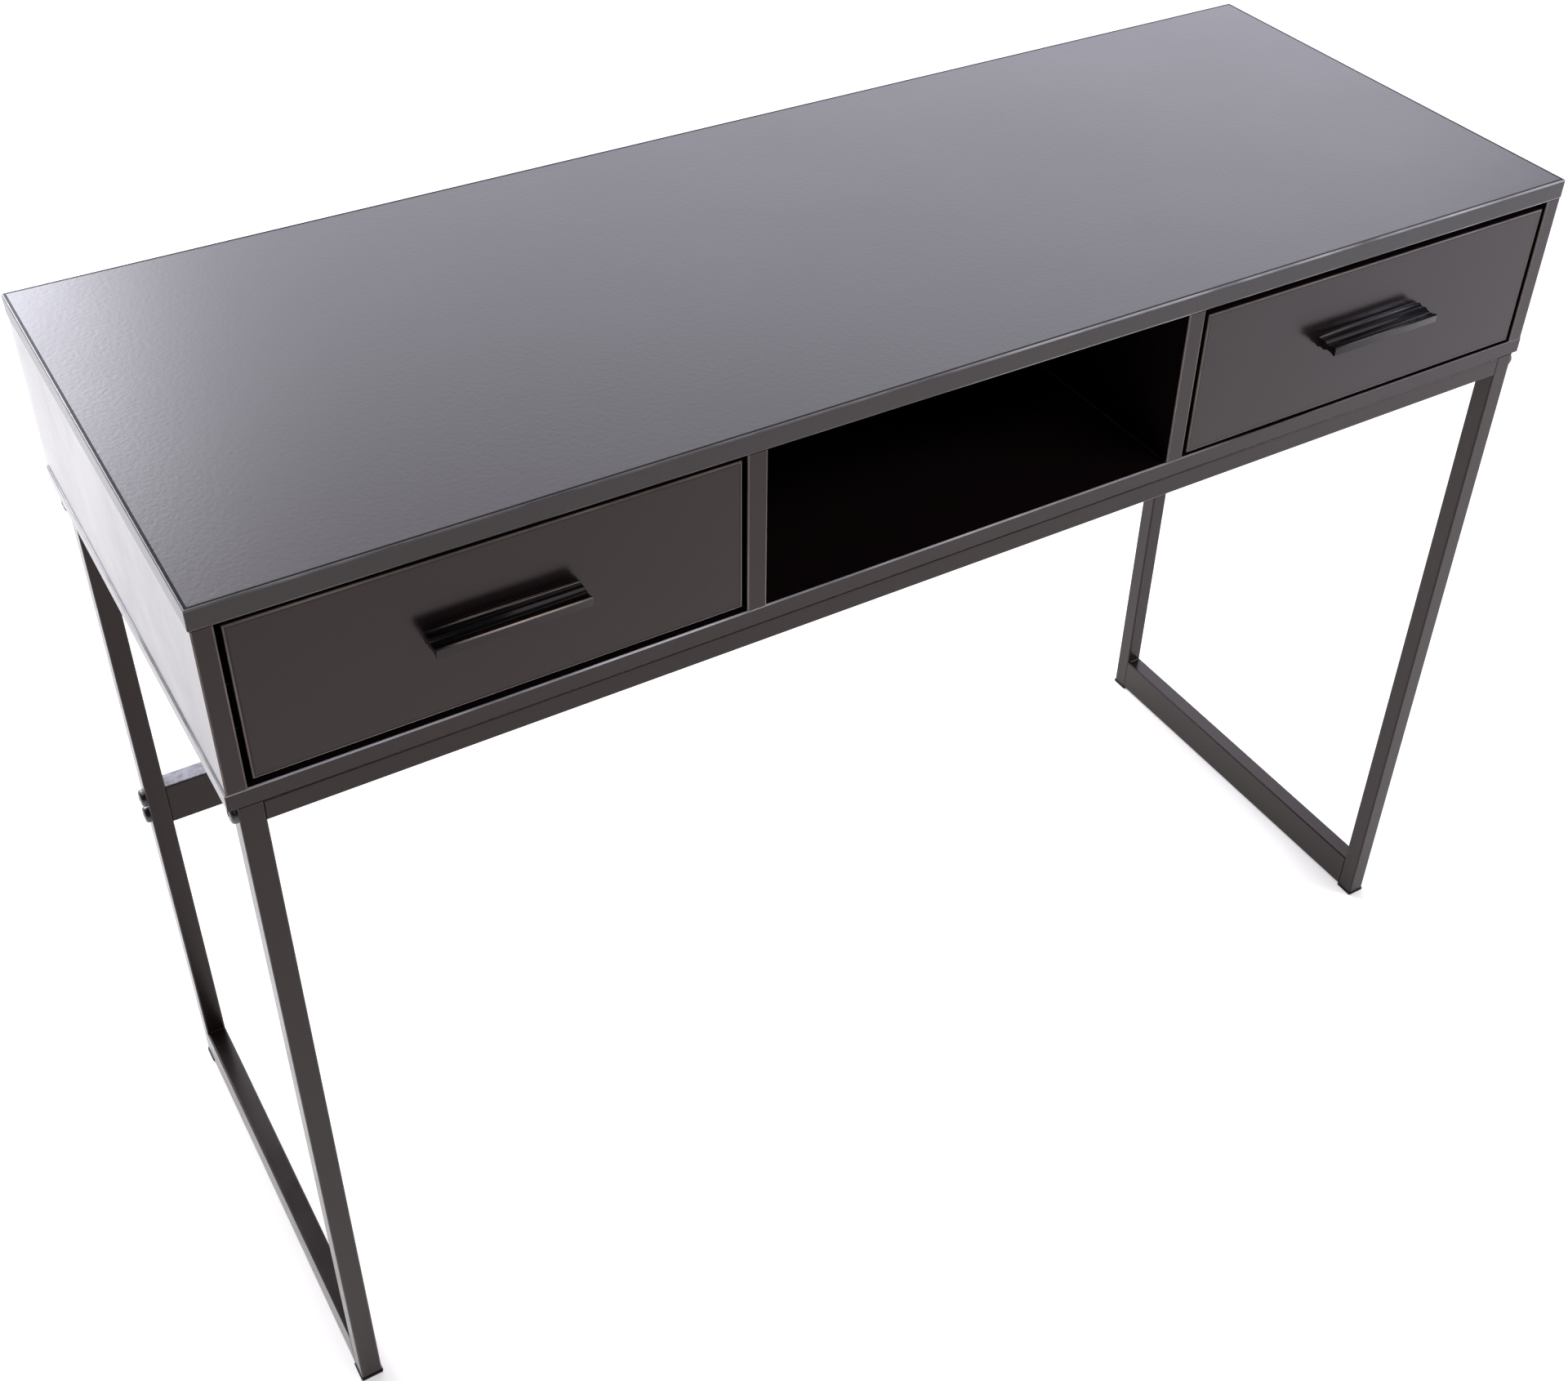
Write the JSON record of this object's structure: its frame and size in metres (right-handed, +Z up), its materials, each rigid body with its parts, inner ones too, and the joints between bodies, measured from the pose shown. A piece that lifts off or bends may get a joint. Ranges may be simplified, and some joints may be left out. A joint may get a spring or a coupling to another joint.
{
  "type": "writing desk with drawers",
  "caption": "Writing desk: a board case with a drawer on each side of an open bay, on a square-tube steel frame with floor bars and a rear stretcher.",
  "frame": {"origin": "middle of the bounding box's footprint, on the floor", "axes": "+X to the sitter's right, +Y towards the back of the desk, +Z up"},
  "size_m": [1.05, 0.403, 0.762],
  "materials": {
    "case_board": "satin black melamine on fibreboard",
    "drawer_board": "matt dark grey foil on fibreboard",
    "hardboard": "black painted hardboard",
    "frame_steel": "satin black powder coat",
    "slide_steel": "bright zinc plate",
    "zinc_hardware": "bright zinc plate",
    "black_bolt": "black oxide",
    "pull_aluminium": "semi-gloss black anodised",
    "nylon": "natural nylon",
    "foot_plastic": "black moulded plastic",
    "dowel_beech": "plain beech"
  },
  "bodies": {
    "desk": {"back_panel": "hardboard", "bottom_board": "case_board", "cabinet_slide_screws": "zinc_hardware", "case_base_screws": "zinc_hardware", "case_cam_bolts": "zinc_hardware", "case_cam_locks": "zinc_hardware", "case_dowels": "dowel_beech", "case_mounting_screws": "zinc_hardware", "desktop": "case_board", "foot_glides": "foot_plastic", "frame_bolts": "black_bolt", "front_rail": "frame_steel", "left_bottom_bar": "frame_steel", "left_divider": "case_board", "left_drawer_cabinet_channels": "slide_steel", "left_drawer_cabinet_pads": "nylon", "left_front_post": "frame_steel", "left_rear_post": "frame_steel", "left_side_panel": "case_board", "left_top_bar": "frame_steel", "rail_end_blocks": "zinc_hardware", "rear_rail": "frame_steel", "rear_stretcher": "frame_steel", "right_bottom_bar": "frame_steel", "right_divider": "case_board", "right_drawer_cabinet_channels": "slide_steel", "right_drawer_cabinet_pads": "nylon", "right_front_post": "frame_steel", "right_rear_post": "frame_steel", "right_side_panel": "case_board", "right_top_bar": "frame_steel"},
    "left_drawer": {"left_drawer_back": "drawer_board", "left_drawer_base": "hardboard", "left_drawer_box_front": "drawer_board", "left_drawer_box_screws": "zinc_hardware", "left_drawer_front": "case_board", "left_drawer_front_screws": "zinc_hardware", "left_drawer_left_side": "drawer_board", "left_drawer_pull": "pull_aluminium", "left_drawer_pull_screws": "zinc_hardware", "left_drawer_right_side": "drawer_board", "left_drawer_runner_pads": "nylon", "left_drawer_runner_screws": "zinc_hardware", "left_drawer_runners": "slide_steel"},
    "right_drawer": {"right_drawer_back": "drawer_board", "right_drawer_base": "hardboard", "right_drawer_box_front": "drawer_board", "right_drawer_box_screws": "zinc_hardware", "right_drawer_front": "case_board", "right_drawer_front_screws": "zinc_hardware", "right_drawer_left_side": "drawer_board", "right_drawer_pull": "pull_aluminium", "right_drawer_pull_screws": "zinc_hardware", "right_drawer_right_side": "drawer_board", "right_drawer_runner_pads": "nylon", "right_drawer_runner_screws": "zinc_hardware", "right_drawer_runners": "slide_steel"}
  },
  "joints": [
    {"name": "left_drawer_slide", "type": "slide", "parent": "desk", "child": "left_drawer", "axis": [0, -1, 0], "range_m": [0, 0.25]},
    {"name": "right_drawer_slide", "type": "slide", "parent": "desk", "child": "right_drawer", "axis": [0, -1, 0], "range_m": [0, 0.25]}
  ]
}
